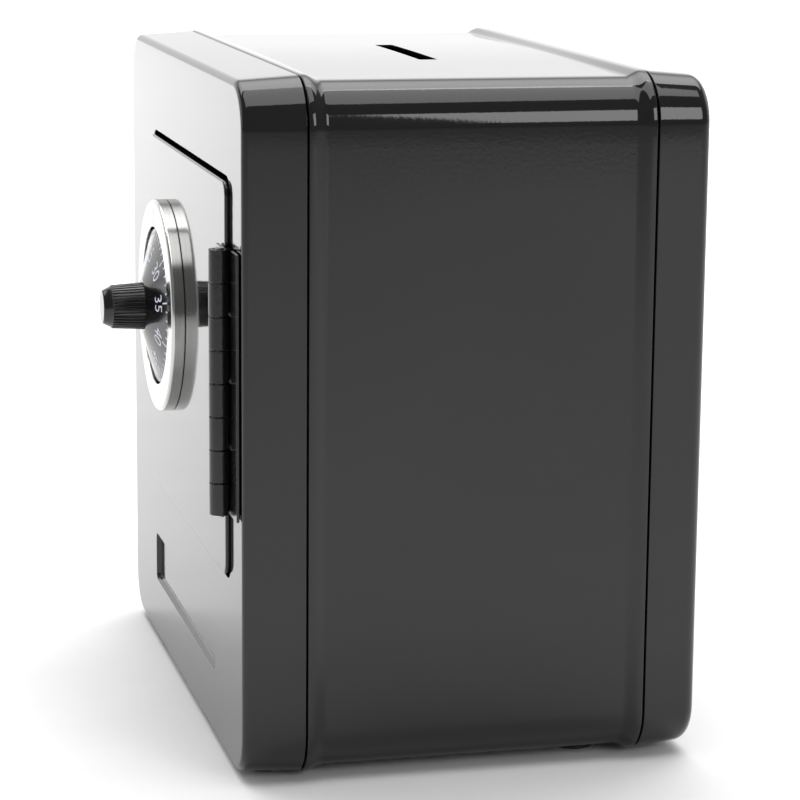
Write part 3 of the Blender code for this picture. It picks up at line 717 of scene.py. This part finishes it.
def build_camera():
    az, el, roll = (math.radians(v) for v in (CAMERA_AZIMUTH, CAMERA_ELEVATION, CAMERA_ROLL))
    back = Vector((math.sin(az) * math.cos(el), -math.cos(az) * math.cos(el), math.sin(el)))
    right = (-back).cross(Vector((0, 0, 1))).normalized()
    up = right.cross(-back)
    turned_right = math.cos(roll) * right + math.sin(roll) * up
    turned_up = -math.sin(roll) * right + math.cos(roll) * up
    data = bpy.data.cameras.new("camera")
    data.lens = CAMERA_LENS
    data.sensor_width = 36.0
    camera = bpy.data.objects.new("camera", data)
    rotation = Matrix((turned_right, turned_up, back)).transposed().to_4x4()
    camera.matrix_world = Matrix.Translation(CAMERA_PLACE) @ rotation
    bpy.context.scene.collection.objects.link(camera)
    bpy.context.scene.camera = camera


def area(name, place, target, size, power, size_y=None, spread=180):
    data = bpy.data.lights.new(name, "AREA")
    data.energy = power
    data.size = size
    data.spread = math.radians(spread)
    if size_y:
        data.shape = "RECTANGLE"
        data.size_y = size_y
    light = bpy.data.objects.new(name, data)
    direction = Vector(target) - Vector(place)
    light.location = place
    light.rotation_euler = direction.to_track_quat("-Z", "Y").to_euler()
    light.visible_camera = False
    bpy.context.scene.collection.objects.link(light)


FLOOR_HALF, FLOOR_Z = 4000, -0.02
SKY_DIM, SKY_GLOW = 0.25, 1.15
GLOW_X, GLOW_Z = (-0.35, 0.05), (0.35, 0.6)  # the glow is full at the first component, gone at the second


def build_floor():
    corners = [(x * FLOOR_HALF, y * FLOOR_HALF, FLOOR_Z) for x, y in ((-1, -1), (1, -1), (1, 1), (-1, 1))]
    floor = new_object("floor", corners, [(0, 1, 2, 3)])
    g = Graph("floor_paper")
    g.feed(g.ramp(g.noise(30.0, 4.0), (0.3, (0.87, 0.87, 0.87)), (0.7, (0.9, 0.9, 0.9))), "Base Color")
    g.set(Roughness=0.9)
    g.feed(g.bump(g.noise(700.0, 3.0), 0.05, 0.0005), "Normal")
    floor.data.materials.append(g.mat)


def build_sky():
    """Dim room with a bright wall on the left, low down, which the top and the front reflect."""
    sky = bpy.data.worlds.new("studio")
    sky.use_nodes = True
    bpy.context.scene.world = sky
    tree = sky.node_tree
    background = tree.nodes["Background"]
    coords = tree.nodes.new("ShaderNodeTexCoord")
    split = tree.nodes.new("ShaderNodeSeparateXYZ")
    tree.links.new(coords.outputs["Generated"], split.inputs[0])

    def fade(axis, bright, dark):
        """1 where the direction's component is bright or beyond, 0 at dark."""
        node = tree.nodes.new("ShaderNodeMapRange")
        node.interpolation_type = "SMOOTHSTEP"
        node.inputs["From Min"].default_value = dark
        node.inputs["From Max"].default_value = bright
        tree.links.new(split.outputs[axis], node.inputs["Value"])
        return node.outputs["Result"]

    both = tree.nodes.new("ShaderNodeMath")
    both.operation = "MULTIPLY"
    tree.links.new(fade("X", *GLOW_X), both.inputs[0])
    tree.links.new(fade("Z", *GLOW_Z), both.inputs[1])
    level = tree.nodes.new("ShaderNodeMath")
    level.operation = "MULTIPLY_ADD"
    level.inputs[1].default_value = SKY_GLOW
    level.inputs[2].default_value = SKY_DIM
    tree.links.new(both.outputs[0], level.inputs[0])
    tree.links.new(level.outputs[0], background.inputs["Strength"])
    background.inputs["Color"].default_value = (1.0, 1.0, 1.0, 1.0)


def build_lights():
    area("overhead", (0.25, 0.1, 1.3), (0.0, 0.0, 0.08), 1.1, 8.0, 0.9)
    area("rear_right", (1.2, 0.62, 0.62), (0.0, 0.0, 0.1), 0.6, 5.0, 0.6)
    area("back_floor", (-1.8, 0.2, 1.7), (-1.8, 0.2, 0.0), 3.0, 70.0, spread=120)
    bpy.context.scene.view_settings.view_transform = "Standard"


def main():
    enamel = gloss_paint("black_gloss_enamel", (0.006, 0.006, 0.0062), 0.06)
    hinge_paint = gloss_paint("black_hinge_paint", (0.005, 0.005, 0.005), 0.2, 0.15, 0.0)
    satin = brushed_ring("brushed_nickel")
    knob_black = plastic("dial_plastic", (0.006, 0.006, 0.007), 0.12)
    zinc = metal("zinc_plating", (0.62, 0.63, 0.65), 0.3, 1400.0, 0.1)
    brass = metal("brass_plating", (0.78, 0.58, 0.3), 0.26, 1400.0, 0.08)
    foot = rubber("foot_rubber_black")
    ink = print_ink("dial_ink")
    build_camera()
    build_floor()
    build_sky()
    build_lights()
    build_front_shell(enamel)
    build_rear_shell(enamel)
    build_body(enamel)
    build_door(enamel)
    build_leaf("fixed_leaf", hinge_paint, "box", 1, FRONT_Y - GAP, 0, "hinge_fixed_leaf")
    build_leaf("door_leaf", hinge_paint, "door", -1, DOOR_FACE - GAP, 1, "hinge_door_leaf")
    build_ring(satin)
    build_cone(knob_black)
    build_print(ink)
    build_knob(knob_black)
    finishes = {"black_enamel": enamel, "hinge_black": hinge_paint, "satin_ring": satin,
                "dial_black": knob_black, "zinc_plate": zinc, "brass": brass, "foot_rubber": foot}
    for entry in frame["record"]["subparts"]:
        node = NODES[entry["node"]]
        node.data.materials.clear()
        node.data.materials.append(finishes[entry["material_slot"]])


main()
